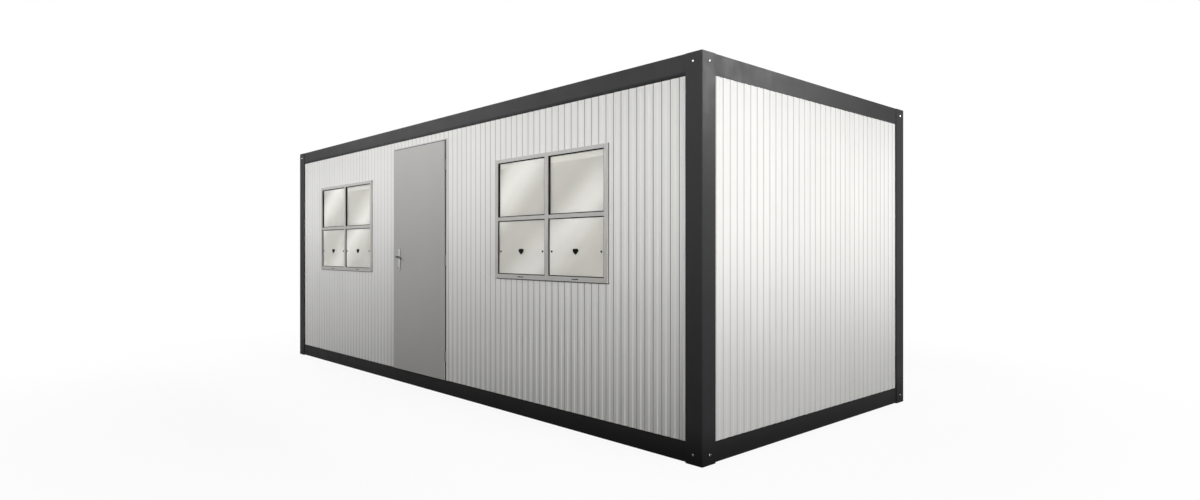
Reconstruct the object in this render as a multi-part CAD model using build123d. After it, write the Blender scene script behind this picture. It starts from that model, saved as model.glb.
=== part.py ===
"""Portable site cabin: a steel frame of corner posts and folded beams, filled with ribbed sandwich panels,
with two vertical sliding windows and one outward-opening steel door in its front wall.

Millimetres. X runs along the front wall, Y from front to rear, Z up; the origin is on the ground under the
middle of the plan.
"""

from build123d import *

import os

# Overall size, over the corner posts
cabin_length = 7000
cabin_width = 3000
cabin_height = 2735

# Corner posts: square tubes closed by a plate at each end
post_side = 145
post_gauge = 4
post_edge_radius = 5
base_plate_thickness = 6
cap_plate_thickness = 5

# Beams: folded sheet, set a little behind the faces of the posts
beam_gauge = 4
beam_setback = 6
roof_beam_height = 143
floor_beam_height = 137
floor_beam_lip = 60
ceiling_seat_width = 40
gutter_flange = 70
gutter_depth = 45
gutter_ledge = 40

# Wall panels: a flat inner face, a core and a ribbed outer sheet
wall_setback = 12
panel_core = 50
rib_depth = 3
rib_pitch = 80
rib_crest = 30
rib_slope = 10

# Floor: channel joists under one deck
joist_spacing = 600
joist_inset = 70
joist_flange = 50
joist_gauge = 3
deck_thickness = 18

# Ceiling panel and roof sheet
ceiling_thickness = 40
ceiling_gap = 4
roof_sheet_gauge = 1.5
roof_rib_pitch = 250
roof_rib_crest = 40
roof_rib_slope = 20
roof_rib_height = 25

# Clearance of boards and sheets round the posts and gutters
board_clearance = 2

# Windows: an outer frame with one mullion, fixed panes above and sliding panes below
window_width = 1442
window_height = 1048
window_centre_shares = {"left": 0.1964, "right": 0.7806}
window_height_share = 0.635
window_proud = 15
window_lap = 20
window_side_bar = 35
window_head_bar = 30
window_sill_bar = 38
window_mullion = 45
window_mullion_depth = 40
window_liner_proud = 10
glass_thickness = 4
lower_glass_setback = 11
upper_glass_setback = 20
sash_rail_height = 31
sash_rail_setback = 4
sash_rail_depth = 14
sash_rail_share = 0.494
drain_slot_length = 84
drain_slot_height = 7
drain_slot_depth = 9
latch_width = 60
latch_height = 46
latch_lobe_radius = 15
latch_notch_radius = 6
latch_tip_radius = 8
latch_thickness = 7
latch_height_share = 0.425
latch_pin_diameter = 16
latch_pin_length = 5
latch_pin_inset = 37

# Door: a slim frame and a lipped leaf that opens outwards, hung at its right edge
door_leaf_width = 1050
door_lip_thickness = 8
door_lip_overlap = 20
door_body_thickness = 36
door_leaf_edge_radius = 2
door_centre_share = 0.4674
door_gap = 5
door_frame_proud = 13
door_jamb_strip = 16
door_head_strip = 20
door_header_height = 75
door_stop_width = 15
door_liner_proud = 10
threshold_height = 22
hinge_barrel_diameter = 14
hinge_barrel_length = 50
hinge_pin_diameter = 7
hinge_pin_clearance = 0.3
hinge_barrel_gap = 1
hinge_side_clearance = 1.5
hinge_web_thickness = 5
hinge_height_shares = (0.1, 0.5, 0.9)

# Lever handle set on the door
lever_backset = 132
lever_height = 1204
lock_plate_length = 235
lock_plate_width = 38
lock_plate_thickness = 8
lock_plate_edge_radius = 2
lock_plate_drop = 35
cylinder_drop = 118
cylinder_radius = 8.5
cylinder_tail_width = 10
cylinder_tail_drop = 17
cylinder_proud = 7
lever_diameter = 16
lever_reach = 42
lever_length = 122
lever_droop = 18
lever_bend_radius = 20
lever_end_radius = 5
lever_play = 0.5
spindle_diameter = 9
spindle_clearance = 0.5
lock_case_bore = 22

# One overrun for every cut
overrun = 20

# Turn of each side of the cabin about Z, from the front
turns = {"front": 0, "right": 90, "rear": 180, "left": 270}

# Levels and faces that several pieces share
floor_beam_top = base_plate_thickness + floor_beam_height
roof_beam_bottom = cabin_height - roof_beam_height
inner_face_setback = wall_setback + rib_depth + panel_core
front_crest = wall_setback - cabin_width / 2
front_inner = inner_face_setback - cabin_width / 2
front_span = cabin_length - 2 * post_side
deck_bottom = floor_beam_top - beam_gauge
deck_top = deck_bottom + deck_thickness


def block(x, y, z):
    """Box between the limits of x, y and z."""
    sizes = [high - low for low, high in (x, y, z)]
    return Pos(x[0], y[0], z[0]) * Box(*sizes, align=(Align.MIN,) * 3)


def around(side, shape):
    """Shape made at the front of the cabin, turned to another side."""
    return Rot(0, 0, turns[side]) * shape


def depth_and_span(side):
    """Distance between a side and the one opposite, and the clear length between its two posts."""
    if side in ("front", "rear"):
        return cabin_width, front_span
    return cabin_length, cabin_width - 2 * post_side


def folded(points, gauge):
    """Section of a sheet bent along points, with its thickness on the right of the way that they run."""
    corners = [Vector(*point) for point in points]
    runs = [(b - a).normalized() for a, b in zip(corners, corners[1:])]
    normals = [Vector(run.Y, -run.X) for run in runs]
    pairs = zip(corners, normals[:1] + normals, normals + normals[-1:])
    mitres = [corner + (a + b) * (gauge / (1 + a.dot(b))) for corner, a, b in pairs]
    return Polygon(*corners, *reversed(mitres), align=None)


def corner_post(x_sign, y_sign):
    """Square tube standing between its base plate and its cap plate."""
    bore = post_side - 2 * post_gauge
    section = RectangleRounded(post_side, post_side, post_edge_radius) - Rectangle(bore, bore)
    length = cabin_height - base_plate_thickness - cap_plate_thickness
    at = post_centre(x_sign, y_sign, base_plate_thickness)
    return extrude(at * section, amount=length, dir=(0, 0, 1))


def post_centre(x_sign, y_sign, level):
    """Place on a post's centre line."""
    reach_x = (cabin_length - post_side) / 2
    reach_y = (cabin_width - post_side) / 2
    return Pos(x_sign * reach_x, y_sign * reach_y, level)


def end_plates(level, thickness):
    """The four plates that close the posts at one level."""
    section = RectangleRounded(post_side, post_side, post_edge_radius)
    signs = [(x_sign, y_sign) for x_sign in (-1, 1) for y_sign in (-1, 1)]
    plates = [extrude(post_centre(*pair, level) * section, amount=thickness, dir=(0, 0, 1)) for pair in signs]
    return Compound([plate.solid() for plate in plates])


def beam(side, section):
    """Folded section, drawn inwards from the beam's face and up from the ground, run between two posts."""
    depth, span = depth_and_span(side)
    end = Plane(origin=(-span / 2, beam_setback - depth / 2, 0), x_dir=(0, 1, 0), z_dir=(1, 0, 0))
    return around(side, extrude(end * section, amount=span, dir=(1, 0, 0)))


def roof_beam(side):
    """Beam with a flange for the ceiling below and a gutter ledge for the roof sheet above."""
    cover = inner_face_setback - beam_setback + ceiling_seat_width
    ledge_level = cabin_height - gutter_depth
    section = folded(
        [
            (cover, roof_beam_bottom),
            (0, roof_beam_bottom),
            (0, cabin_height),
            (gutter_flange, cabin_height),
            (gutter_flange, ledge_level),
            (gutter_flange + gutter_ledge, ledge_level),
        ],
        beam_gauge,
    )
    return beam(side, section)


def floor_beam(side):
    """Channel whose top flange carries the wall and whose web holds the joists."""
    section = folded(
        [
            (floor_beam_lip, base_plate_thickness),
            (0, base_plate_thickness),
            (0, floor_beam_top),
            (inner_face_setback - beam_setback, floor_beam_top),
        ],
        beam_gauge,
    )
    return beam(side, section)


def joists():
    """Row of channels between the webs of the front and rear floor beams."""
    low = base_plate_thickness + beam_gauge
    points = [(joist_flange, low), (0, low), (0, deck_bottom), (joist_flange, deck_bottom)]
    section = folded(points, joist_gauge)
    length = cabin_width - 2 * (beam_setback + beam_gauge)
    row = front_span - 2 * joist_inset - joist_flange
    count = round(row / joist_spacing)
    places = [joist_inset - front_span / 2 + row * i / count for i in range(count + 1)]
    planes = [Plane(origin=(x, length / 2, 0), x_dir=(1, 0, 0), z_dir=(0, -1, 0)) for x in places]
    return Compound([extrude(plane * section, amount=length, dir=(0, -1, 0)).solid() for plane in planes])


def notched(board, low, high):
    """Board with a square taken out of each corner, clear of the posts."""
    inside_x = cabin_length / 2 - post_side - board_clearance
    inside_y = cabin_width / 2 - post_side - board_clearance
    for x_sign in (-1, 1):
        for y_sign in (-1, 1):
            x = sorted((x_sign * inside_x, x_sign * cabin_length / 2))
            y = sorted((y_sign * inside_y, y_sign * cabin_width / 2))
            board -= block(x, y, (low - overrun, high + overrun))
    return board


def board(margin, low, thickness):
    """Flat board over the plan, held back from the faces of the posts by a margin."""
    x = cabin_length / 2 - margin
    y = cabin_width / 2 - margin
    high = low + thickness
    return notched(block((-x, x), (-y, y), (low, high)), low, high)


def roof_sheet():
    """Sheet with raised ribs from front to rear, lying on the gutter ledges below the tops of the beams."""
    margin = beam_setback + gutter_flange + board_clearance
    length = cabin_length - 2 * margin
    width = cabin_width - 2 * margin
    ledge_level = cabin_height - gutter_depth
    low = ledge_level + roof_sheet_gauge
    high = ledge_level + roof_rib_height
    count = round(length / roof_rib_pitch)
    pitch = length / count
    flat = (pitch - roof_rib_crest) / 2 - roof_rib_slope
    points = [(-length / 2, low)]
    for i in range(count):
        start = i * pitch - length / 2
        points += [
            (start + flat, low),
            (start + flat + roof_rib_slope, high),
            (start + flat + roof_rib_slope + roof_rib_crest, high),
            (start + pitch - flat, low),
        ]
    points.append((length / 2, low))
    end = Plane(origin=(0, width / 2, 0), x_dir=(1, 0, 0), z_dir=(0, -1, 0))
    sheet = extrude(end * folded(points, roof_sheet_gauge), amount=width, dir=(0, -1, 0))
    return notched(sheet, ledge_level, high)


def ribbed_wall(side):
    """Whole wall between two posts, ribbed outside and flat inside, standing on the floor beam."""
    depth, span = depth_and_span(side)
    crest = wall_setback - depth / 2
    valley = crest + rib_depth
    inner = valley + panel_core
    count = round(span / rib_pitch)
    pitch = span / count
    half_valley = (pitch - rib_crest) / 2 - rib_slope
    points = [(-span / 2, inner), (-span / 2, valley)]
    for i in range(count):
        start = i * pitch - span / 2
        points += [
            (start + half_valley, valley),
            (start + half_valley + rib_slope, crest),
            (start + half_valley + rib_slope + rib_crest, crest),
            (start + pitch - half_valley, valley),
        ]
    points += [(span / 2, valley), (span / 2, inner)]
    outline = Pos(0, 0, floor_beam_top) * Polygon(*points, align=None)
    return around(side, extrude(outline, amount=up_the_wall(1) - floor_beam_top, dir=(0, 0, 1)))


def centred(centre, size):
    """Limits of a size about its centre."""
    return centre - size / 2, centre + size / 2


def inset(limits, low, high):
    """Limits drawn in by an amount at each end."""
    return limits[0] + low, limits[1] - high


def along_front(share):
    """Place along the front wall, as a share of the clear length between the posts."""
    return front_span * (share - 1 / 2)


def up_the_wall(share):
    """Level on a wall, as a share of its height between the floor beam and the roof beam."""
    return floor_beam_top + (roof_beam_bottom - floor_beam_top) * share


def window_outline(name):
    """Limits in X and Z of a window's outer frame."""
    x = centred(along_front(window_centre_shares[name]), window_width)
    z = centred(up_the_wall(window_height_share), window_height)
    return x, z


def window_cutout(name):
    """Limits in X and Z of the opening in the wall that the window's liner fills."""
    return [inset(limits, window_lap, window_lap) for limits in window_outline(name)]


def door_outline():
    """Limits in X and Z of the door frame."""
    width = door_leaf_width + 2 * door_jamb_strip
    x = centred(along_front(door_centre_share), width)
    return x, (floor_beam_top, roof_beam_bottom - door_header_height)


def front_panels():
    """The front wall, cut into the panels beside, under and over its windows and its door."""
    wall = ribbed_wall("front")
    depth = (front_crest - overrun, front_inner + overrun)
    full = (floor_beam_top, roof_beam_bottom)
    left_x, left_z = window_cutout("left")
    right_x, right_z = window_cutout("right")
    door_x, door_z = door_outline()
    end = front_span / 2
    limits = {
        "front_panel_left_end": ((-end, left_x[0]), full),
        "front_panel_under_left_window": (left_x, (floor_beam_top, left_z[0])),
        "front_panel_over_left_window": (left_x, (left_z[1], roof_beam_bottom)),
        "front_panel_left_of_door": ((left_x[1], door_x[0]), full),
        "front_panel_over_door": (door_x, (door_z[1], roof_beam_bottom)),
        "front_panel_right_of_door": ((door_x[1], right_x[0]), full),
        "front_panel_under_right_window": (right_x, (floor_beam_top, right_z[0])),
        "front_panel_over_right_window": (right_x, (right_z[1], roof_beam_bottom)),
        "front_panel_right_end": ((right_x[1], end), full),
    }
    return {name: wall & block(x, depth, z) for name, (x, z) in limits.items()}


def window(name):
    """Pieces of one window: outer frame, sash rails, panes and latches."""
    x, z = window_outline(name)
    cut_x, cut_z = window_cutout(name)
    face = front_crest - window_proud
    back = front_inner + window_liner_proud
    clear_x = inset(x, window_side_bar, window_side_bar)
    clear_z = inset(z, window_sill_bar, window_head_bar)
    middle = (x[0] + x[1]) / 2
    panes = [(clear_x[0], middle - window_mullion / 2), (middle + window_mullion / 2, clear_x[1])]
    rail_z = centred(clear_z[0] + (clear_z[1] - clear_z[0]) * sash_rail_share, sash_rail_height)
    pane_z = (clear_z[0], rail_z[0])

    frame = block(x, (face, front_crest), z) + block(cut_x, (front_crest, back), cut_z)
    for pane in panes:
        frame -= block(pane, (face - overrun, back + overrun), clear_z)
        slot_x = centred(sum(pane) / 2, drain_slot_length)
        slot_z = centred((z[0] + clear_z[0]) / 2, drain_slot_height)
        frame -= block(slot_x, (face - overrun, face + drain_slot_depth), slot_z)
    frame -= block(clear_x, (face + window_mullion_depth, back + overrun), clear_z)

    rail_y = (face + sash_rail_setback, face + sash_rail_setback + sash_rail_depth)
    rails = [block(pane, rail_y, rail_z) for pane in panes]
    lower_y = (face + lower_glass_setback, face + lower_glass_setback + glass_thickness)
    upper_y = (face + upper_glass_setback, face + upper_glass_setback + glass_thickness)
    lower = [block(pane, lower_y, pane_z) for pane in panes]
    upper = [block(pane, upper_y, (rail_z[0], clear_z[1])) for pane in panes]
    latches = [piece for pane in panes for piece in sash_latch(pane, pane_z, lower_y[0])]
    return {
        f"window_{name}_frame": frame,
        f"window_{name}_sash_rails": Compound([rail.solid() for rail in rails]),
        f"window_{name}_panes": Compound([pane.solid() for pane in lower + upper]),
        f"window_{name}_latches": Compound([latch.solid() for latch in latches]),
    }


def sash_latch(pane_x, pane_z, glass_face):
    """Finger pull in the middle of a sliding pane and the two latch pins near its edges."""
    level = pane_z[0] + (pane_z[1] - pane_z[0]) * latch_height_share
    on_glass = Plane(origin=(sum(pane_x) / 2, glass_face, level), x_dir=(1, 0, 0), z_dir=(0, -1, 0))
    lobe_x = latch_width / 2 - latch_lobe_radius
    lobe_y = latch_height / 2 - latch_lobe_radius
    lobes = Pos(-lobe_x, lobe_y) * Circle(latch_lobe_radius) + Pos(lobe_x, lobe_y) * Circle(latch_lobe_radius)
    tip = Pos(0, latch_tip_radius - latch_height / 2) * Circle(latch_tip_radius)
    outline = make_hull(lobes.edges() + tip.edges()) - Pos(0, latch_height / 2) * Circle(latch_notch_radius)
    pull = extrude(on_glass * outline, amount=latch_thickness, dir=(0, -1, 0))
    pin_reach = (pane_x[1] - pane_x[0]) / 2 - latch_pin_inset
    pins = [on_glass * Pos(sign * pin_reach, 0) * Circle(latch_pin_diameter / 2) for sign in (-1, 1)]
    return [pull, *[extrude(pin, amount=latch_pin_length, dir=(0, -1, 0)) for pin in pins]]


def door():
    """Pieces of the door: frame, leaf, both halves of the hinges, lock plates and the pair of levers."""
    x, z = door_outline()
    face = front_crest - door_frame_proud
    liner_back = front_inner + door_liner_proud
    threshold_top = floor_beam_top + threshold_height
    lip_back = face - door_gap
    lip_face = lip_back - door_lip_thickness
    body_back = lip_back + door_body_thickness
    lip_x = inset(x, door_jamb_strip, door_jamb_strip)
    lip_z = (floor_beam_top + door_gap, z[1] - door_head_strip)
    body_x = inset(lip_x, door_lip_overlap, door_lip_overlap)
    body_z = (threshold_top + door_gap, lip_z[1] - door_lip_overlap)

    rebate_x = inset(body_x, -door_gap, -door_gap)
    rebate_z = (threshold_top, body_z[1] + door_gap)
    way_x = inset(body_x, door_stop_width, door_stop_width)
    way_z = (threshold_top, body_z[1] - door_stop_width)
    frame = block(x, (face, liner_back), z)
    frame -= block(rebate_x, (face - overrun, body_back + door_gap), rebate_z)
    frame -= block(way_x, (face - overrun, liner_back + overrun), way_z)
    frame -= block(inset(x, -overrun, -overrun), (front_inner, liner_back + overrun), (deck_bottom, deck_top))

    lip = block(lip_x, (lip_face, lip_back), lip_z)
    lip = fillet(lip.edges().group_by(Axis.Y)[0], door_leaf_edge_radius)
    leaf = lip + block(body_x, (lip_back, body_back), body_z)
    spindle_x = lip_x[0] + lever_backset
    spindle_z = lip_z[0] + lever_height
    outside = Plane(origin=(spindle_x, lip_face, spindle_z), x_dir=(1, 0, 0), z_dir=(0, -1, 0))
    inside = Plane(origin=(spindle_x, body_back, spindle_z), x_dir=(-1, 0, 0), z_dir=(0, 1, 0))
    leaf_depth = body_back - lip_face
    leaf -= extrude(inside * Circle(lock_case_bore / 2), amount=leaf_depth, dir=(0, -1, 0))

    lip_middle = (lip_face + lip_back) / 2
    hinges = [hinge(lip_x[1], lip_middle, face, lip_z, share) for share in hinge_height_shares]
    spindle_end = lock_plate_thickness + lever_play
    spindle = extrude(
        inside.offset(spindle_end) * Circle(spindle_diameter / 2),
        amount=leaf_depth + 2 * spindle_end,
        dir=(0, -1, 0),
    )
    levers = spindle + lever(outside, 1) + lever(inside, -1)
    return {
        "door_frame": frame,
        "door_leaf": leaf,
        "door_hinge_pins": Compound([fixed.solid() for fixed, _ in hinges]),
        "door_hinge_barrels": Compound([moving.solid() for _, moving in hinges]),
        "door_lock_plates": Compound([lock_plate(outside).solid(), lock_plate(inside).solid()]),
        "door_levers": levers,
    }


def hinge(leaf_edge, axis_y, frame_face, leaf_z, share):
    """Lift-off hinge beside the leaf: a barrel with its pin on the frame, a hollow barrel on the leaf."""
    radius = hinge_barrel_diameter / 2
    axis_x = leaf_edge + hinge_side_clearance + radius
    middle = leaf_z[0] + (leaf_z[1] - leaf_z[0]) * share
    lower = middle - hinge_barrel_length - hinge_barrel_gap / 2
    upper = middle + hinge_barrel_gap / 2
    bore_radius = hinge_pin_diameter / 2 + hinge_pin_clearance

    fixed = Pos(axis_x, axis_y, lower) * Cylinder(radius, hinge_barrel_length, align=BASE)
    pin_length = 2 * hinge_barrel_length + hinge_barrel_gap
    fixed += Pos(axis_x, axis_y, lower) * Cylinder(hinge_pin_diameter / 2, pin_length, align=BASE)
    fixed_z = (lower, lower + hinge_barrel_length)
    fixed += block(centred(axis_x, hinge_web_thickness), (axis_y, frame_face), fixed_z)

    moving_z = (upper, upper + hinge_barrel_length)
    moving = Pos(axis_x, axis_y, upper) * Cylinder(radius, hinge_barrel_length, align=BASE)
    moving += block((leaf_edge, axis_x), centred(axis_y, hinge_web_thickness), moving_z)
    moving -= Pos(axis_x, axis_y, upper) * Cylinder(bore_radius, hinge_barrel_length, align=BASE)
    return fixed, moving


def lock_plate(on_leaf):
    """Long plate with round ends, the spindle's hole and a key cylinder below it."""
    shift = lock_plate_drop
    outline = Pos(0, -shift) * Rot(0, 0, 90) * SlotOverall(lock_plate_length, lock_plate_width)
    plate = extrude(on_leaf * outline, amount=lock_plate_thickness, dir=on_leaf.z_dir)
    outer_face = plate.faces().sort_by(Axis(on_leaf.origin, on_leaf.z_dir))[-1]
    plate = fillet(outer_face.edges(), lock_plate_edge_radius)
    hole = Circle(spindle_diameter / 2 + spindle_clearance)
    plate -= extrude(on_leaf * hole, amount=lock_plate_thickness, dir=on_leaf.z_dir)
    tail = Pos(0, -cylinder_tail_drop / 2) * Rectangle(cylinder_tail_width, cylinder_tail_drop)
    cylinder = on_leaf * Pos(0, -cylinder_drop) * (Circle(cylinder_radius) + tail)
    return plate + extrude(cylinder, amount=lock_plate_thickness + cylinder_proud, dir=on_leaf.z_dir)


def lever(on_leaf, towards_hinge):
    """Round bar that stands out from the spindle and bends along the leaf towards the hinges."""
    start = lock_plate_thickness + lever_play
    reach = start + lever_reach
    ends = [(0, 0, start), (0, 0, reach), (towards_hinge * lever_length, -lever_droop, reach)]
    path = FilletPolyline(*[on_leaf.from_local_coords(point) for point in ends], radius=lever_bend_radius)
    section = Plane(origin=path @ 0, z_dir=path % 0) * Circle(lever_diameter / 2)
    bar = sweep(section, path=path)
    tip = bar.faces().sort_by(Axis.X)[-1]
    return fillet(tip.edges(), lever_end_radius)


BASE = (Align.CENTER, Align.CENTER, Align.MIN)


def all_pieces():
    """Every piece of the cabin by its name."""
    corners = {"front_left": (-1, -1), "front_right": (1, -1), "rear_left": (-1, 1), "rear_right": (1, 1)}
    pieces = {f"post_{name}": corner_post(*signs) for name, signs in corners.items()}
    pieces["post_base_plates"] = end_plates(0, base_plate_thickness)
    pieces["post_cap_plates"] = end_plates(cabin_height - cap_plate_thickness, cap_plate_thickness)
    for side in turns:
        pieces[f"roof_beam_{side}"] = roof_beam(side)
        pieces[f"floor_beam_{side}"] = floor_beam(side)
    pieces["floor_joists"] = joists()
    pieces["floor_deck"] = board(inner_face_setback, deck_bottom, deck_thickness)
    ceiling_bottom = roof_beam_bottom + beam_gauge
    pieces["ceiling_panel"] = board(inner_face_setback + ceiling_gap, ceiling_bottom, ceiling_thickness)
    pieces["roof_sheet"] = roof_sheet()
    pieces.update(front_panels())
    for side in ("rear", "left", "right"):
        pieces[f"{side}_wall"] = ribbed_wall(side)
    for name in window_centre_shares:
        pieces.update(window(name))
    pieces.update(door())
    return pieces


os.makedirs("parts", exist_ok=True)
for piece_name, piece in all_pieces().items():
    export_step(piece, f"parts/{piece_name}.step")
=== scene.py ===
"""Portable site cabin: finishes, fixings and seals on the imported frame, with its studio and camera.

Metres, in the frame of the part: X along the front wall, Y from front to rear, Z up from the ground.
"""

import logging
import math
from dataclasses import dataclass
from enum import Enum

import bmesh
import bpy
import numpy as np
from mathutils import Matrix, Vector

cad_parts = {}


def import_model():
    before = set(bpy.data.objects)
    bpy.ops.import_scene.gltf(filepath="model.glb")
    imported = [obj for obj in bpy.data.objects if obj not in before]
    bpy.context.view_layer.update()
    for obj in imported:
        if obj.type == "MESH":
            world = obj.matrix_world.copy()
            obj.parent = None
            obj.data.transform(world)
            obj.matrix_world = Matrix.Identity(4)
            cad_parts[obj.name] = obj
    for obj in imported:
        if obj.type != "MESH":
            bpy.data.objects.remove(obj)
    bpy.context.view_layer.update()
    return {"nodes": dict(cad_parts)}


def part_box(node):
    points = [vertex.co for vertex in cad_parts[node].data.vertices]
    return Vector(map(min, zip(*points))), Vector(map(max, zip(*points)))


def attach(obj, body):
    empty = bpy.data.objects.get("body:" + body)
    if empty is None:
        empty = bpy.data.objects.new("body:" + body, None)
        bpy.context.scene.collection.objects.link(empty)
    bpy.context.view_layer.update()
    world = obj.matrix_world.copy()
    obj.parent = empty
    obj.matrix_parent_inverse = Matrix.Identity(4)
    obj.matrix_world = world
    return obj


log = logging.getLogger("site_cabin")

Colour = tuple[float, float, float]
Span = tuple[float, float]
Shares = tuple[Span, ...]
Socket = bpy.types.NodeSocket
Input = float | Colour | Socket
Material = bpy.types.Material
Palette = dict[str, Material]
Nodes = dict[str, bpy.types.Object]

WELD_DISTANCE = 1e-6
CREASE_DEGREES = 35.0
# Upward share of a normal from which an axis counts as upright
UPRIGHT_FROM = 0.9
# Share of a strip's width that is cut from its corners
CORNER_SHARE = 0.25
# Range that most of a soft noise lies in
NOISE_SPAN: Span = (0.3, 0.7)
WHITE: Colour = (1.0, 1.0, 1.0)
WARM: Colour = (1.0, 0.985, 0.95)
CHARCOAL: tuple[Colour, Colour] = ((0.036, 0.036, 0.037), (0.041, 0.041, 0.042))


class Body(Enum):
    """Bodies of the part that new pieces ride on."""

    CABIN = "cabin"
    DOOR = "door"


class Slot(Enum):
    """Names of material slots listed beside some new pieces; those pieces take their finish from the palette
    instead.
    """

    PROFILE = "window_profile"
    GALVANISED = "galvanised"
    BLACK = "latch_plastic"
    METAL = "handle_metal"


class Along(Enum):
    """Directions of the part's frame, as places in a point."""

    X = 0
    Y = 1
    Z = 2


class Octaves(Enum):
    """How many layers of finer noise lie on the first."""

    FEW = 1.0
    SOME = 2.0
    MORE = 3.0
    MANY = 5.0


# Surfaces worked out on grids


def grid_quads(rows: int, columns: int, ring: bool) -> np.ndarray:
    """Corner numbers of the quads of one grid of points, whose columns close on themselves.

    Quad (i, j) joins points (i, j), (i + 1, j), (i + 1, j + 1) and (i, j + 1), with the first point again
    after the last.

    Args:
        rows: points in the first direction.
        columns: points in the second direction.
        ring: whether the rows close on themselves too.

    Returns:
        Array of shape (quads, 4).
    """
    i, j = np.meshgrid(np.arange(rows if ring else rows - 1), np.arange(columns), indexing="ij")
    next_i = (i + 1) % rows
    next_j = (j + 1) % columns
    corners = [i * columns + j, next_i * columns + j, next_i * columns + next_j, i * columns + next_j]
    return np.stack(corners, axis=-1).reshape(-1, 4)


def surface_object(name: str, points: np.ndarray, finish: Material, ring: bool = False) -> bpy.types.Object:
    """One mesh object from several equal grids of points, with its poles closed and its faces outwards.

    Args:
        name: name of the piece.
        points: array of shape (grids, rows, columns, 3), in metres, whose columns close on themselves.
        finish: material of the piece.
        ring: whether the rows close on themselves too.

    Returns:
        The object, at the origin, linked to the scene.
    """
    grids, rows, columns, _ = points.shape
    quads = grid_quads(rows, columns, ring)
    first = np.arange(grids) * rows * columns
    faces = (quads[None, :, :] + first[:, None, None]).reshape(-1, 4)
    mesh = bpy.data.meshes.new(name)
    mesh.from_pydata(points.reshape(-1, 3).tolist(), [], faces.tolist())
    shell = bmesh.new()
    shell.from_mesh(mesh)
    bmesh.ops.remove_doubles(shell, verts=shell.verts, dist=WELD_DISTANCE)
    bmesh.ops.recalc_face_normals(shell, faces=shell.faces)
    shell.to_mesh(mesh)
    shell.free()
    mesh.materials.append(finish)
    mesh.shade_smooth()
    mesh.set_sharp_from_angle(angle=math.radians(CREASE_DEGREES))
    piece = bpy.data.objects.new(name, mesh)
    bpy.context.scene.collection.objects.link(piece)
    return piece


def scaled(shares: Shares, radius: float, height: float) -> np.ndarray:
    """Profile from shares of one radius and one height, as an array of shape (rows, 2)."""
    return np.array(shares) * np.array([radius, height])


def turned(profile: np.ndarray, hexed: np.ndarray, segments: int = 24) -> np.ndarray:
    """Profile turned about its axis, round or six-sided row by row.

    The point at row i and angle a lies at radius r_i * (1 - h_i + h_i * g(a)) and height z_i, where g is the
    radius of a hexagon whose corners are at 1: cos 30 / cos((a mod 60) - 30), in degrees.

    Args:
        profile: array of shape (rows, 2), radius and height.
        hexed: share of the hexagon in each row, 0 for round and 1 for six-sided.
        segments: points round the axis.

    Returns:
        Array of shape (rows, segments, 3), about the origin, axis along Z.
    """
    angle = np.linspace(0, 2 * np.pi, segments, endpoint=False)
    hexagon = np.cos(np.pi / 6) / np.cos(np.mod(angle, np.pi / 3) - np.pi / 6)
    radius = profile[:, :1] * (1 - hexed[:, None] + hexed[:, None] * hexagon[None, :])
    height = np.broadcast_to(profile[:, 1:], radius.shape)
    return np.stack([radius * np.cos(angle), radius * np.sin(angle), height], axis=-1)


def seated(local: np.ndarray, centres: np.ndarray, normals: np.ndarray) -> np.ndarray:
    """Copies of a turned shape, each set on a seat with its axis along the seat's normal.

    Point (x, y, z) of the shape goes to centre + x * u + y * v + z * n, with u and v square to n.

    Args:
        local: array of shape (rows, segments, 3).
        centres: array of shape (copies, 3).
        normals: unit vectors, array of shape (copies, 3).

    Returns:
        Array of shape (copies, rows, segments, 3).
    """
    upright = np.abs(normals[:, 2:]) > UPRIGHT_FROM
    reference = np.where(upright, np.array([[0.0, 1.0, 0.0]]), np.array([[0.0, 0.0, 1.0]]))
    u = np.cross(reference, normals)
    v = np.cross(normals, u)
    axes = np.stack([u, v, normals], axis=1)
    return centres[:, None, None, :] + np.einsum("rsk,nkd->nrsd", local, axes)


def rings(openings: np.ndarray, section: np.ndarray) -> np.ndarray:
    """Mitred rectangular rings in the plane of the front wall: one section carried round each opening.

    Section point (d, y) at a corner with signs (a, b) goes to the opening's corner drawn in by d both ways:
    x = middle + a * (half width - d), z = middle + b * (half height - d).

    Args:
        openings: array of shape (rings, 4), low x, high x, low z and high z.
        section: array of shape (points, 2), distance inwards from the opening's edge, and y.

    Returns:
        Array of shape (rings, 4, points, 3).
    """
    signs = np.array([[-1, -1], [1, -1], [1, 1], [-1, 1]])
    middle = (openings[:, [1, 3]] + openings[:, [0, 2]]) / 2
    half = (openings[:, [1, 3]] - openings[:, [0, 2]]) / 2
    reach = half[:, None, None, :] - section[None, None, :, :1]
    plane = middle[:, None, None, :] + signs[None, :, None, :] * reach
    depth = np.broadcast_to(section[None, None, :, 1], plane.shape[:-1])
    return np.stack([plane[..., 0], depth, plane[..., 1]], axis=-1)


def padded_strip(outer: float, inner: float, front: float, back: float, corner: float) -> np.ndarray:
    """Section of a rubber strip: a rectangle with its two front corners cut.

    Args:
        outer: distance inwards of its outer edge.
        inner: distance inwards of its inner edge.
        front: y of its front face.
        back: y of its back face.
        corner: length cut from each front corner.

    Returns:
        Array of shape (6, 2).
    """
    return np.array(
        [
            (outer, back),
            (outer, front + corner),
            (outer + corner, front),
            (inner - corner, front),
            (inner, front + corner),
            (inner, back),
        ]
    )


def rectangle(y: Span, z: Span) -> np.ndarray:
    """Section with four corners, as (y, z) points."""
    return np.array([(y[0], z[0]), (y[1], z[0]), (y[1], z[1]), (y[0], z[1])])


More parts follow.
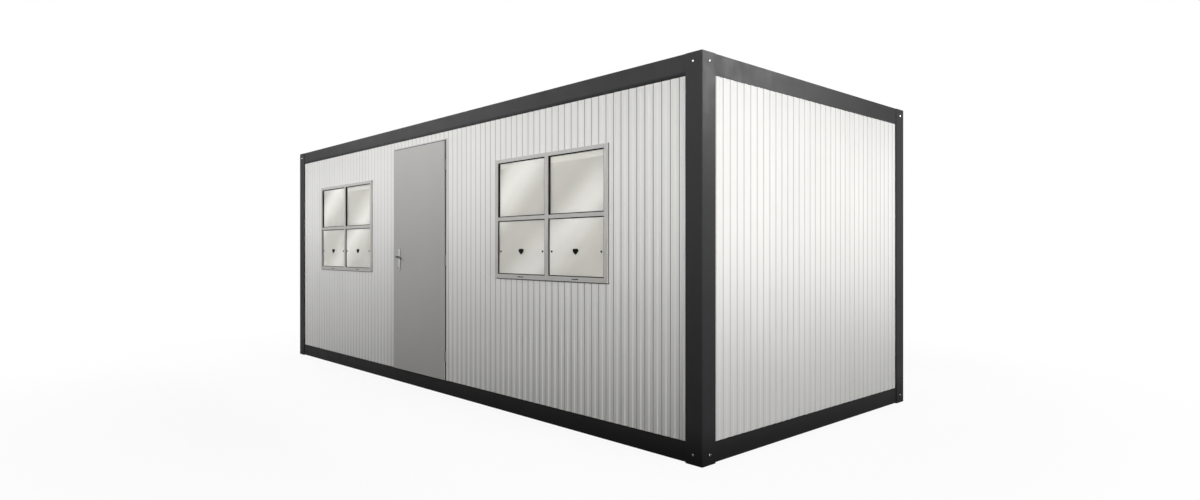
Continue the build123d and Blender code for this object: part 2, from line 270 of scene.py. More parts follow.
def bar(section: np.ndarray, x: Span) -> np.ndarray:
    """Closed bar along X: one section carried from end to end, and each end drawn to its middle.

    Of the four rows, the outer two are the section shrunk to its mean point, so that they close the ends.

    Args:
        section: array of shape (points, 2), y and z.
        x: limits along X.

    Returns:
        Array of shape (4, points, 3).
    """
    middle = np.broadcast_to(section.mean(axis=0), section.shape)
    rows = np.stack([middle, section, section, middle])
    along = np.broadcast_to(np.array([x[0], x[0], x[1], x[1]])[:, None, None], (*rows.shape[:2], 1))
    return np.concatenate([along, rows], axis=-1)


def racetrack(
    centre: Span, straight: float, radius: float, section: np.ndarray, segments: int = 32
) -> np.ndarray:
    """Ring round an upright plate with round ends, in the plane of the front wall.

    Section point (d, y) at angle a goes to x = middle + (radius + d) * cos a and to
    z = middle + (radius + d) * sin a, moved by half the straight length. The move is up above the middle
    and down below it.

    Args:
        centre: x and z of the plate's middle.
        straight: length of its straight sides.
        radius: radius of its round ends.
        section: array of shape (points, 2), distance outwards from the plate's edge, and y.
        segments: points round the ring.

    Returns:
        Array of shape (segments, points, 3).
    """
    angle = (np.arange(segments) + 0.5) * 2 * np.pi / segments
    reach = radius + section[None, :, 0]
    x = centre[0] + reach * np.cos(angle)[:, None]
    z = centre[1] + reach * np.sin(angle)[:, None] + np.sign(np.sin(angle))[:, None] * straight / 2
    return np.stack([x, np.broadcast_to(section[None, :, 1], x.shape), z], axis=-1)


@dataclass(frozen=True)
class SealantBead:
    """Bead between a frame and the wall: wide at the sides and under the sill, thin over the head."""

    wide: float = 0.006
    foot: float = 0.006
    thin: float = 0.0025
    lap: float = 0.001
    front: float = -1.4895
    back: float = -1.4845

    def ring(self, node: str) -> np.ndarray:
        """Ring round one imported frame, lapped a little under it."""
        low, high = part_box(node)
        across = (low[0] - self.wide, high[0] + self.wide)
        upright = (low[2] - self.foot, high[2] + self.thin)
        cut = self.thin * CORNER_SHARE
        section = padded_strip(0.0, self.wide + self.lap, self.front, self.back, cut)
        return rings(np.array([(*across, *upright)]), section)


def belong(piece: bpy.types.Object, body: Body) -> None:
    """Lets a new piece ride on its body, and reports it."""
    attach(piece, body.value)
    log.info("%s rides on %s, %d faces", piece.name, body.value, len(piece.data.polygons))


# Finishes


class Graph:
    """Node tree of one finish, with short ways to add and join nodes.

    A Mix node has sockets for each kind of value; those named here are the ones for colours.
    """

    FIRST_COLOUR = 6
    SECOND_COLOUR = 7
    MIXED_COLOUR = 2

    def __init__(self, name: str) -> None:
        """Starts a material with one Principled shader."""
        self.material = bpy.data.materials.new(name)
        self.material.use_nodes = True
        self.tree = self.material.node_tree
        self.shader = self.tree.nodes["Principled BSDF"]
        self.place = self.tree.nodes.new("ShaderNodeTexCoord").outputs["Object"]

    def join(self, socket: Socket, value: Input) -> None:
        """Joins an output to a socket, or sets the socket to a number or a colour."""
        if isinstance(value, Socket):
            self.tree.links.new(value, socket)
        elif isinstance(value, tuple) and len(value) == 3 and socket.type == "RGBA":
            socket.default_value = (*value, 1.0)
        else:
            socket.default_value = value

    def fill(self, node: bpy.types.Node, inputs: dict[str, Input]) -> None:
        """Joins or sets sockets of a node, with underscores for the spaces in their names."""
        for name, value in inputs.items():
            self.join(node.inputs[name.replace("_", " ")], value)

    def finish(self, **inputs: Input) -> None:
        """Fills sockets of the shader."""
        self.fill(self.shader, inputs)

    def add(self, kind: str, **inputs: Input) -> bpy.types.Node:
        """New node of one kind, with some of its sockets filled."""
        node = self.tree.nodes.new("ShaderNode" + kind)
        self.fill(node, inputs)
        return node

    def math(self, operation: str, *values: Input) -> Socket:
        """Output of a Math node on one to three numbers."""
        node = self.add("Math")
        node.operation = operation
        for socket, value in zip(node.inputs, values):
            self.join(socket, value)
        return node.outputs[0]

    def axis(self, along: Along) -> Socket:
        """One coordinate of the point that is shaded."""
        return self.add("SeparateXYZ", Vector=self.place).outputs[along.value]

    def upward(self) -> Socket:
        """How far the surface looks up, from -1 to 1."""
        normal = self.add("NewGeometry").outputs["Normal"]
        return self.add("SeparateXYZ", Vector=normal).outputs[Along.Z.value]

    def noise(self, size: float, octaves: Octaves = Octaves.SOME, stretch: Colour = (1, 1, 1)) -> Socket:
        """Soft noise from about 0 to 1.

        Args:
            size: how far its patches are across, in metres.
            octaves: how much finer noise lies on it.
            stretch: what each coordinate is multiplied by first.

        Returns:
            Its value.
        """
        point = self.add("Mapping", Vector=self.place, Scale=stretch).outputs[0]
        return self.add("TexNoise", Vector=point, Scale=1 / size, Detail=octaves.value).outputs["Fac"]

    def cells(self, size: float) -> Socket:
        """Colour of flat cells of about one size across, as on zinc."""
        return self.add("TexVoronoi", Vector=self.place, Scale=1 / size).outputs["Color"]

    def fit(self, value: Input, source: Span, target: Span, smooth: bool = False) -> Socket:
        """Value taken from one range to another, held at the ends.

        Args:
            value: number to take over.
            source: range it lies in.
            target: what the ends of that range become.
            smooth: whether it leaves and meets the ends gently.

        Returns:
            The new number.
        """
        ends = {"From_Min": source[0], "From_Max": source[1], "To_Min": target[0], "To_Max": target[1]}
        node = self.add("MapRange", Value=value, **ends)
        node.interpolation_type = "SMOOTHSTEP" if smooth else "LINEAR"
        return node.outputs[0]

    def blend(self, share: Input, first: Input, second: Input) -> Socket:
        """Mix of two colours, all first at share 0 and all second at share 1."""
        node = self.add("Mix")
        node.data_type = "RGBA"
        self.join(node.inputs[0], share)
        self.join(node.inputs[self.FIRST_COLOUR], first)
        self.join(node.inputs[self.SECOND_COLOUR], second)
        return node.outputs[self.MIXED_COLOUR]

    def with_painted_light(self, plain_tone: Input, painted_tone: Colour, rise: Span, share: float) -> Socket:
        """Colour with a share of a painted tone at the foot of a rise, falling to none at its top: painted
        shade where the tone is darker, painted light where it is lighter.
        """
        level = self.fit(self.axis(Along.Z), rise, (share, 0.0), smooth=True)
        return self.blend(level, plain_tone, painted_tone)

    def joints(self, spacing: float, width: float) -> Socket:
        """1 on lines at each whole spacing along X, 0 between them."""
        along = self.math("PINGPONG", self.axis(Along.X), spacing / 2)
        return self.math("LESS_THAN", along, width / 2)

    def bump(self, height: Input, depth: float) -> None:
        """Small relief on the shader's normal, its depth in metres."""
        self.finish(Normal=self.add("Bump", Strength=1.0, Distance=depth, Height=height).outputs[0])


@dataclass(frozen=True)
class Finish:
    """A finish by name, whose shader each kind of finish sets."""

    name: str

    def shade(self, graph: Graph) -> None:
        """Sets the shader."""
        raise NotImplementedError

    def material(self) -> Material:
        """The finished material."""
        graph = Graph(self.name)
        self.shade(graph)
        return graph.material


@dataclass(frozen=True)
class PaintedSteel(Finish):
    """Sprayed or coil-coated steel: two close tones in soft patches, uneven gloss and a fine peel.

    The patches are noise stretched up the wall, as rain leaves them. The peel is a finer noise as bump.
    Dust lies on faces that look up and takes their gloss.
    """

    tone: Colour
    faded: Colour
    patch: float = 0.35
    patch_span: Span = (0.35, 0.65)
    upright: float = 0.3
    gloss: Span = (0.38, 0.5)
    gloss_patch_share: float = 0.25
    shine: float = 0.25
    peel: float = 0.0025
    peel_depth: float = 0.00006
    looks_up: Span = (0.5, 0.9)
    dusted: float = 0.95

    def colour(self, graph: Graph) -> Socket:
        """Colour over the surface."""
        patches = graph.noise(self.patch, Octaves.MORE, (1, 1, self.upright))
        return graph.blend(graph.fit(patches, self.patch_span, (0, 1)), self.tone, self.faded)

    def shade(self, graph: Graph) -> None:
        """Sets the shader."""
        uneven = graph.fit(graph.noise(self.patch * self.gloss_patch_share), NOISE_SPAN, self.gloss)
        dust_and_shade = graph.fit(graph.upward(), self.looks_up, (0.0, self.dusted))
        roughness = graph.math("MAXIMUM", uneven, dust_and_shade)
        graph.finish(Base_Color=self.colour(graph), Roughness=roughness, Specular_IOR_Level=self.shine)
        graph.bump(graph.noise(self.peel, Octaves.FEW), self.peel_depth)


@dataclass(frozen=True)
class PaintWithPaintedLight(PaintedSteel):
    """Paint with a painted tone rising from its lower edge and fading out with height: painted shade where
    the tone is darker, painted light where it is lighter.
    """

    painted_tone: Colour = (0.008, 0.008, 0.0078)
    painted_rise: Span = (0.0, 0.3)
    painted_share: float = 0.8

    def colour(self, graph: Graph) -> Socket:
        """Plain paint above, the painted tone below."""
        plain_tone = PaintedSteel.colour(self, graph)
        return graph.with_painted_light(plain_tone, self.painted_tone, self.painted_rise, self.painted_share)


@dataclass(frozen=True)
class WallSheet(PaintedSteel):
    """Sandwich panel: coil-coated ribs outside, a warmer flat lining with fine joints inside.

    A point is inside where it lies within the lining planes both ways. Joints are lines at each whole
    panel width along X, thin against the panel. Outside, a painted shade line darkens the foot of each rib,
    at one distance along the wall from the middle of the trough before it, and a painted highlight line
    lightens the rib's other side. Low down the painted shade is less and the painted highlight stronger.
    """

    long_wall: float = 6.71
    long_ribs: int = 84
    short_wall: float = 2.71
    short_ribs: int = 34
    # Painted shade: a dark line at the foot of each rib on its -X side, weaker low down and on the short
    # walls
    foot: float = 0.0185
    painted_shade_width: float = 0.012
    dust_and_shade: Colour = (0.12, 0.117, 0.113)
    painted_shade_shares: Span = (0.5, 0.85)
    short_wall_share: float = 0.46
    # Painted highlight: a pale line up each rib's +X side, strongest near the ground and gone above 1.2 m
    painted_highlight_line: float = 0.0585
    painted_highlight_width: float = 0.012
    painted_highlight_tone: Colour = (0.97, 0.965, 0.95)
    painted_lines_rise: Span = (0.25, 1.2)
    lining: Colour = (0.63, 0.61, 0.565)
    lining_shade: Colour = (0.59, 0.575, 0.53)
    lining_patch: float = 0.8
    room_half: Span = (3.44, 1.44)
    panel: float = 1.0
    joint: float = 0.004
    joint_tone: Colour = (0.25, 0.24, 0.22)
    joint_share: float = 0.35

    def line(self, graph: Graph, along: Input, middle: float, width: float) -> Socket:
        """1 within the middle half of a line's width, falling to 0 at its edges."""
        away = graph.math("ABSOLUTE", graph.math("SUBTRACT", along, middle))
        return graph.fit(away, (width / 4, width / 2), (1.0, 0.0), smooth=True)

    def within(self, graph: Graph, along: Along) -> Socket:
        """1 between the two lining planes that face each other along X or Y, 0 beyond them."""
        away = graph.math("ABSOLUTE", graph.axis(along))
        return graph.math("LESS_THAN", away, self.room_half[along.value])

    def from_trough(self, graph: Graph, on_short: Input) -> Socket:
        """Distance from the middle of the last trough, along Y on short walls and X on long ones."""
        along_long = graph.math("FLOORED_MODULO", graph.axis(Along.X), self.long_wall / self.long_ribs)
        along_short = graph.math("FLOORED_MODULO", graph.axis(Along.Y), self.short_wall / self.short_ribs)
        short_part = graph.math("MULTIPLY", along_short, on_short)
        return graph.math("MULTIPLY_ADD", along_long, graph.math("SUBTRACT", 1.0, on_short), short_part)

    def outside(self, graph: Graph, on_short: Input) -> Socket:
        """Coating with a painted highlight line and a painted shade line along each rib."""
        place = self.from_trough(graph, on_short)
        height = graph.axis(Along.Z)
        painted_highlight_low = graph.fit(height, self.painted_lines_rise, (1.0, 0.0), smooth=True)
        painted_highlight_line = graph.math("MULTIPLY", self.line(graph, place, self.painted_highlight_line, self.painted_highlight_width), painted_highlight_low)
        highlighted = graph.blend(painted_highlight_line, PaintedSteel.colour(self, graph), self.painted_highlight_tone)
        wall_share = graph.fit(on_short, (0.0, 1.0), (1.0, self.short_wall_share))
        dusty_and_shaded = graph.math("MULTIPLY", self.line(graph, place, self.foot, self.painted_shade_width), wall_share)
        painted_shade_level = graph.fit(height, self.painted_lines_rise, self.painted_shade_shares, smooth=True)
        return graph.blend(graph.math("MULTIPLY", dusty_and_shaded, painted_shade_level), highlighted, self.dust_and_shade)

    def colour(self, graph: Graph) -> Socket:
        """Coating outside, lining inside."""
        on_short = self.within(graph, Along.Y)
        inside = graph.math("MULTIPLY", self.within(graph, Along.X), on_short)
        soft = graph.blend(graph.noise(self.lining_patch), self.lining, self.lining_shade)
        gap = graph.math("MULTIPLY", graph.joints(self.panel, self.joint), self.joint_share)
        jointed = graph.blend(gap, soft, self.joint_tone)
        return graph.blend(inside, self.outside(graph, on_short), jointed)


@dataclass(frozen=True)
class Zinc(Finish):
    """Dull galvanised steel: spangle cells in close greys, with an uneven gloss."""

    tone: Colour = (0.42, 0.43, 0.44)
    bright: Colour = (0.54, 0.55, 0.56)
    spangle: float = 0.018
    spangle_span: Span = (0.2, 0.8)
    relief: float = 0.00002
    gloss: Span = (0.42, 0.58)
    gloss_patch: float = 0.054
    metal: float = 0.85

    def shade(self, graph: Graph) -> None:
        """Sets the shader."""
        cell = graph.cells(self.spangle)
        colour = graph.blend(graph.fit(cell, self.spangle_span, (0, 1)), self.tone, self.bright)
        rough = graph.fit(graph.noise(self.gloss_patch), NOISE_SPAN, self.gloss)
        graph.finish(Base_Color=colour, Roughness=rough, Metallic=self.metal)
        graph.bump(cell, self.relief)


@dataclass(frozen=True)
class SatinMetal(Finish):
    """Brushed satin metal: fine scratches along one way, as noise stretched along X, in gloss and bump."""

    tone: Colour
    worn: Colour
    scratch: float = 0.0012
    brushed: Colour = (0.04, 1, 1)
    relief: float = 0.00002
    wear: float = 0.03
    wear_span: Span = (0.45, 0.75)
    gloss: Span = (0.26, 0.42)
    # Painted shade: darker near the ground, which reaches the lower corner bolts
    painted_tone: Colour = (0.03, 0.03, 0.029)
    painted_rise: Span = (0.1, 0.3)
    painted_share: float = 0.85

    def shade(self, graph: Graph) -> None:
        """Sets the shader, with painted shade near the ground."""
        lines = graph.noise(self.scratch, stretch=self.brushed)
        worn = graph.fit(graph.noise(self.wear, Octaves.MORE), self.wear_span, (0, 1))
        plain_tone = graph.blend(worn, self.tone, self.worn)
        colour = graph.with_painted_light(plain_tone, self.painted_tone, self.painted_rise, self.painted_share)
        graph.finish(Base_Color=colour, Roughness=graph.fit(lines, NOISE_SPAN, self.gloss), Metallic=1.0)
        graph.bump(lines, self.relief)


@dataclass(frozen=True)
class Moulded(Finish):
    """Moulded plastic or rubber: near-even tone with a fine grain, and dust that pales its flat patches."""

    tone: Colour
    dusty_and_shaded: Colour
    dust_patch: float = 0.05
    dust_span: Span = (0.4, 0.8)
    grain: float = 0.0009
    grain_depth: float = 0.00004
    gloss: Span = (0.42, 0.6)
    gloss_patch: float = 0.02
    shine: float = 0.3

    def shade(self, graph: Graph) -> None:
        """Sets the shader."""
        dust_and_shade = graph.fit(graph.noise(self.dust_patch, Octaves.MORE), self.dust_span, (0, 1))
        colour = graph.blend(dust_and_shade, self.tone, self.dusty_and_shaded)
        rough = graph.fit(graph.noise(self.gloss_patch), NOISE_SPAN, self.gloss)
        graph.finish(Base_Color=colour, Roughness=rough, Specular_IOR_Level=self.shine)
        graph.bump(graph.noise(self.grain, Octaves.FEW), self.grain_depth)


@dataclass(frozen=True)
class WindowGlass(Finish):
    """Clear pane with soft slanting bands of painted reflection that rise to the right, and a pale strip
    along the head.

    The painted reflection follows the squared half of 1 + cosine of slope * x - z, so it is even along each
    band; it takes the place of a share of the clear glass. Both windows lie a whole number of bands apart.
    """

    tint: Colour = (0.98, 0.97, 0.92)
    slope: float = 0.75
    period: float = 0.98
    crest: float = 0.03
    clear: float = 0.68
    # Painted reflection: transmission left in the middle of each band, where the pale tint shows instead
    painted_reflection_transmission: float = 0.10
    head: Span = (2.128, 2.142)
    head_strip_share: float = 0.4
    gloss: Span = (0.0, 0.02)
    gloss_patch: float = 0.3
    bending: float = 1.45

    def shade(self, graph: Graph) -> None:
        """Sets the shader."""
        rise = graph.math("MULTIPLY", graph.axis(Along.X), self.slope)
        slant = graph.math("SUBTRACT", rise, graph.axis(Along.Z))
        turns = 2 * math.pi / self.period
        wave = graph.math("COSINE", graph.math("MULTIPLY_ADD", slant, turns, -turns * self.crest))
        band = graph.math("POWER", graph.math("MULTIPLY_ADD", wave, 0.5, 0.5), 2.0)
        strip = graph.fit(graph.axis(Along.Z), self.head, (0.0, self.head_strip_share), smooth=True)
        see_through = graph.fit(graph.math("MAXIMUM", band, strip), (0.0, 1.0), (self.clear, self.painted_reflection_transmission))
        rough = graph.fit(graph.noise(self.gloss_patch), NOISE_SPAN, self.gloss)
        graph.finish(Base_Color=self.tint, Roughness=rough, Transmission_Weight=see_through, IOR=self.bending)


@dataclass(frozen=True)
class FloorBoard(Finish):
    """Sealed flooring ply: grain as noise drawn out along X, with joints between the sheets."""

    tone: Colour = (0.34, 0.29, 0.23)
    grain_tone: Colour = (0.26, 0.22, 0.17)
    grain: float = 0.012
    grain_span: Span = (0.35, 0.7)
    drawn: Colour = (0.06, 1, 1)
    relief: float = 0.0001
    gloss: Span = (0.38, 0.55)
    sheet: float = 1.25
    joint: float = 0.003
    joint_tone: Colour = (0.05, 0.045, 0.04)

    def shade(self, graph: Graph) -> None:
        """Sets the shader."""
        grain = graph.noise(self.grain, Octaves.MANY, self.drawn)
        wood = graph.blend(graph.fit(grain, self.grain_span, (0, 1)), self.tone, self.grain_tone)
        colour = graph.blend(graph.joints(self.sheet, self.joint), wood, self.joint_tone)
        graph.finish(Base_Color=colour, Roughness=graph.fit(grain, NOISE_SPAN, self.gloss))
        graph.bump(grain, self.relief)


FINISHES: dict[str, Finish] = {
    # Painted shade: the frame darkens towards the ground
    "frame": PaintWithPaintedLight("frame_charcoal_painted_shade", *CHARCOAL, patch=0.5, shine=0.02),
    # Painted shade: a dark band along the lower edge of the long roof beams
    "eaves": PaintWithPaintedLight("eaves_charcoal_painted_shade", *CHARCOAL, patch=0.5, shine=0.02, painted_rise=(2.592, 2.628)),
    "wall": WallSheet("wall_off_white", (0.80, 0.793, 0.773), (0.775, 0.768, 0.749), shine=0.02),
    "roof": PaintedSteel(
        "roof_pale_grey", (0.60, 0.61, 0.61), (0.54, 0.55, 0.55), gloss=(0.5, 0.65), shine=0.02
    ),
    "ceiling": PaintedSteel("ceiling_white", (0.82, 0.81, 0.78), (0.79, 0.78, 0.75)),
    # Painted light: the door grows paler towards the bottom, from the ground up to 1.8 m
    "door": PaintWithPaintedLight(
        "door_grey_painted_light", (0.41, 0.402, 0.388), (0.39, 0.382, 0.369), patch=0.6, shine=0.08,
        painted_tone=(0.49, 0.48, 0.465), painted_rise=(0.0, 1.8),
    ),
    # Painted light: the door frame is paler than the leaf to offset the shade of the leaf's lip
    "door_frame": PaintedSteel("door_frame_grey_painted_light", (0.58, 0.57, 0.55), (0.55, 0.54, 0.52), shine=0.08),
    "hinge": PaintedSteel("hinge_grey", (0.21, 0.207, 0.20), (0.18, 0.178, 0.172)),
    "profile": Moulded(
        "window_grey", (0.50, 0.49, 0.473), (0.535, 0.525, 0.51), gloss=(0.32, 0.46), shine=0.1
    ),
    "glass": WindowGlass("window_glass"),
    "black": Moulded(
        "latch_black", (0.004, 0.004, 0.004), (0.006, 0.006, 0.006), shine=0.02, grain_depth=0.00001
    ),
    "rubber": Moulded(
        "seal_rubber", (0.008, 0.008, 0.008), (0.013, 0.013, 0.012), gloss=(0.6, 0.8), shine=0.05
    ),
    "sealant": Moulded(
        "sealant_pale", (0.72, 0.715, 0.70), (0.68, 0.675, 0.66), gloss=(0.5, 0.65), shine=0.05
    ),
    "plate": SatinMetal("plate_satin", (0.42, 0.42, 0.41), (0.50, 0.50, 0.49)),
    "lever": SatinMetal("lever_dark", (0.015, 0.015, 0.0145), (0.024, 0.024, 0.023)),
    "bolt": SatinMetal("bolt_bright_painted_shade", (0.64, 0.64, 0.63), (0.56, 0.56, 0.55)),
    "zinc": Zinc("joist_zinc"),
    "board": FloorBoard("floor_ply"),
}


def dress(nodes: Nodes, names: list[str], finish: Material) -> None:
    """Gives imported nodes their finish, through their material slots."""
    for name in names:
        for slot in nodes[name].material_slots:
            slot.material = finish
        log.info("%s dressed in %s", name, finish.name)


# Sub-assemblies


@dataclass
class SteelFrame:
    """Corner posts, beams and plates, with a bolt near both ends of each outer face of each post."""

    half_length: float = 3.5
    half_width: float = 1.5
    height: float = 2.735
    from_edge: float = 0.075
    from_top: float = 0.062
    from_ground: float = 0.068
    washer_radius: float = 0.0105
    washer_height: float = 0.002
    washer_shares: Shares = ((1.0, 0.0), (1.0, 0.6), (0.95, 1.0), (0.4, 1.0), (0.0, 1.0))
    head_radius: float = 0.0082
    head_height: float = 0.006
    dome_points: int = 7
    dome_share: float = 0.72
    socket_floor_share: float = 0.35
    socket_taper_share: float = 0.96

    def seats(self) -> tuple[np.ndarray, np.ndarray]:
        """Centres and normals of the sixteen bolts, four on each side of the cabin.

        Returns:
            Two arrays of shape (16, 3).
        """
        signs = np.array(np.meshgrid([-1.0, 1.0], [-1.0, 1.0])).reshape(2, -1).T
        centres, normals = [], []
        for level in (self.from_ground, self.height - self.from_top):
            flat = np.full(len(signs), level)
            on_long = signs * np.array([self.half_length - self.from_edge, self.half_width])
            on_short = signs * np.array([self.half_length, self.half_width - self.from_edge])
            centres += [np.column_stack([on_long, flat]), np.column_stack([on_short, flat])]
            normals += [signs * np.array([0.0, 1.0]), signs * np.array([1.0, 0.0])]
        facing = np.concatenate(normals)
        return np.concatenate(centres), np.column_stack([facing, np.zeros(len(facing))])

    def washer(self) -> np.ndarray:
        """Washer: a flat ring with a rounded rim, turned."""
        profile = scaled(self.washer_shares, self.washer_radius, self.washer_height)
        return turned(profile, np.zeros(len(profile)))

    def head(self) -> np.ndarray:
        """Bolt head on its washer: a quarter of an ellipse, turned, with a six-sided socket at its top."""
        angle = np.linspace(0, np.pi / 2 * self.dome_share, self.dome_points)
        radius = self.head_radius * np.cos(angle)
        dome = np.column_stack([radius, self.washer_height + self.head_height * np.sin(angle)])
        floor = self.washer_height + self.head_height * self.socket_floor_share
        socket = [(radius[-1] * self.socket_taper_share, floor), (0.0, floor)]
        profile = np.vstack([[(self.head_radius, 0.0)], dome, socket])
        hexed = np.concatenate([np.zeros(len(dome)), [1.0, 1.0, 1.0]])
        return turned(profile, hexed)

    def build(self, palette: Palette) -> None:
        """Makes the bolts and their washers."""
        centres, normals = self.seats()
        shapes = {
            "corner_bolt_heads": (self.head(), palette["bolt"], Slot.METAL),
            "corner_bolt_washers": (self.washer(), palette["rubber"], Slot.BLACK),
        }
        for name, (shape, finish, slot) in shapes.items():
            piece = surface_object(name, seated(shape, centres, normals), finish)
            belong(piece, Body.CABIN)

    def dress(self, nodes: Nodes, palette: Palette) -> None:
        """Paints posts, plates and beams."""
        names = [name for name in nodes if name.startswith(("post_", "roof_beam_", "floor_beam_"))]
        long_beams = ["roof_beam_front", "roof_beam_rear"]
        dress(nodes, [name for name in names if name not in long_beams], palette["frame"])
        dress(nodes, long_beams, palette["eaves"])


@dataclass
class WallsAndFloor:
    """Ribbed wall panels, floor, ceiling and roof sheet, with the sheet's screws and black strips at the
    eaves that paint the shade under the long roof beams.
    """

    crest: float = 1.488
    strip_height: float = 0.003
    strip_proud: float = 0.0055
    strip_sunk: float = 0.006
    rib_pitch: float = 0.25
    screw_from_edge: float = 0.02
    sheet_gauge: float = 0.0015
    washer_radius: float = 0.008
    washer_shares: Shares = ((1.0, 0.0), (1.0, 0.12))
    head_radius: float = 0.0045
    head_height: float = 0.0055
    head_shares: Shares = ((1.25, 0.3), (1.0, 0.3), (1.0, 0.85), (0.8, 1.0), (0.0, 1.0))
    screw_sides: int = 12

    def screw(self) -> np.ndarray:
        """Roofing screw: a domed washer and a six-sided head, turned."""
        washer = scaled(self.washer_shares, self.washer_radius, self.head_height)
        head = scaled(self.head_shares, self.head_radius, self.head_height)
        hexed = np.array([0.0, 0.0, 0.0, 1.0, 1.0, 1.0, 1.0])
        return turned(np.vstack([washer, head]), hexed, self.screw_sides)

    def build(self, palette: Palette) -> None:
        """Makes the roof screws and the black strips under the long roof beams, a painted shade line."""
        self.roof_screws(palette)
        low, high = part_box("roof_beam_front")
        level = (low[2] - self.strip_height, low[2])
        depth = (self.crest - self.strip_sunk, self.crest + self.strip_proud)
        sections = [rectangle((side * depth[0], side * depth[1]), level) for side in (-1, 1)]
        strips = np.stack([bar(section, (low[0], high[0])) for section in sections])
        # Painted shade: thin black strips put where the long roof beams shade the wall
        piece = surface_object("eaves_shade_strips", strips, palette["rubber"])
        belong(piece, Body.CABIN)

    def roof_screws(self, palette: Palette) -> None:
        """Sets a row of screws along the front and the rear edge of the roof sheet, one in each trough."""
        low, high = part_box("roof_sheet")
        length = high[0] - low[0]
        pitch = length / round(length / self.rib_pitch)
        along = low[0] + pitch * np.arange(1, round(length / pitch))
        edges = np.array([low[1] + self.screw_from_edge, high[1] - self.screw_from_edge])
        x, y = np.meshgrid(along, edges)
        level = np.full(x.size, low[2] + self.sheet_gauge)
        centres = np.column_stack([x.ravel(), y.ravel(), level])
        normals = np.tile(np.array([0.0, 0.0, 1.0]), (len(centres), 1))
        screws = seated(self.screw(), centres, normals)
        piece = surface_object("roof_screws", screws, palette["zinc"])
        belong(piece, Body.CABIN)

    def dress(self, nodes: Nodes, palette: Palette) -> None:
        """Paints the panels and dresses floor, ceiling and roof."""
        walls = [name for name in nodes if name.startswith("front_panel_") or name.endswith("_wall")]
        dress(nodes, walls, palette["wall"])
        dress(nodes, ["roof_sheet"], palette["roof"])
        dress(nodes, ["ceiling_panel"], palette["ceiling"])
        dress(nodes, ["floor_joists"], palette["zinc"])
        dress(nodes, ["floor_deck"], palette["board"])


@dataclass
class SlidingWindow:
    """One window: frame, sash rails, panes and latches, with gaskets, a sealant bead and drain caps."""

    side: str
    side_bar: float = 0.035
    head_bar: float = 0.030
    sill_bar: float = 0.038
    mullion: float = 0.045
    gasket: float = 0.0075
    gasket_setback: float = 0.0025
    lower_glass: float = 0.011
    upper_glass: float = 0.020
    drain_length: float = 0.084
    drain_height: float = 0.007
    drain_depth: Span = (0.003, 0.009)

    def node(self, piece: str) -> str:
        """Name of one of the window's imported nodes."""
        return f"window_{self.side}_{piece}"

    def openings(self) -> tuple[np.ndarray, np.ndarray]:
        """Openings of the lower and of the upper panes, from the frame's and the rails' boxes.

        Returns:
            Two arrays of shape (2, 4), low x, high x, low z and high z.
        """
        low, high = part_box(self.node("frame"))
        rail_low, rail_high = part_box(self.node("sash_rails"))
        middle = (low[0] + high[0]) / 2
        columns = [
            (low[0] + self.side_bar, middle - self.mullion / 2),
            (middle + self.mullion / 2, high[0] - self.side_bar),
        ]
        lower = np.array([(*column, low[2] + self.sill_bar, rail_low[2]) for column in columns])
        upper = np.array([(*column, rail_high[2], high[2] - self.head_bar) for column in columns])
        return lower, upper

    def build(self, palette: Palette) -> None:
        """Makes the gaskets of the four panes, the bead round the frame and the drain caps."""
        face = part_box(self.node("frame"))[0][1]
        front = face + self.gasket_setback
        depths = (self.lower_glass, self.upper_glass)
        groups = []
        for opening, depth in zip(self.openings(), depths):
            section = padded_strip(0.0, self.gasket, front, face + depth, self.gasket * CORNER_SHARE)
            groups.append(rings(opening, section))
        pieces = {
            "gaskets": (np.concatenate(groups), True),
            # The black sealant bead, wide at the sides and under the sill, also paints the frame's shade on
            # the wall
            "bead": (SealantBead().ring(self.node("frame")), True),
            "drain_caps": (self.drain_caps(), False),
        }
        for name, (points, ring) in pieces.items():
            piece = surface_object(self.node(name), points, palette["rubber"], ring)
            belong(piece, Body.CABIN)

    def drain_caps(self) -> np.ndarray:
        """Caps that sit back in the drain slots of the sill bar, one below each lower pane."""
        face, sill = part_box(self.node("frame"))[0][1:]
        lower, _ = self.openings()
        level = sill + self.sill_bar / 2
        z = (level - self.drain_height / 2, level + self.drain_height / 2)
        section = rectangle((face + self.drain_depth[0], face + self.drain_depth[1]), z)
        half = self.drain_length / 2
        return np.stack([bar(section, (x - half, x + half)) for x in lower[:, :2].mean(axis=1)])

    def dress(self, nodes: Nodes, palette: Palette) -> None:
        """Dresses frame, rails, panes and latches."""
        dress(nodes, [self.node("frame"), self.node("sash_rails")], palette["profile"])
        dress(nodes, [self.node("panes")], palette["glass"])
        dress(nodes, [self.node("latches")], palette["black"])


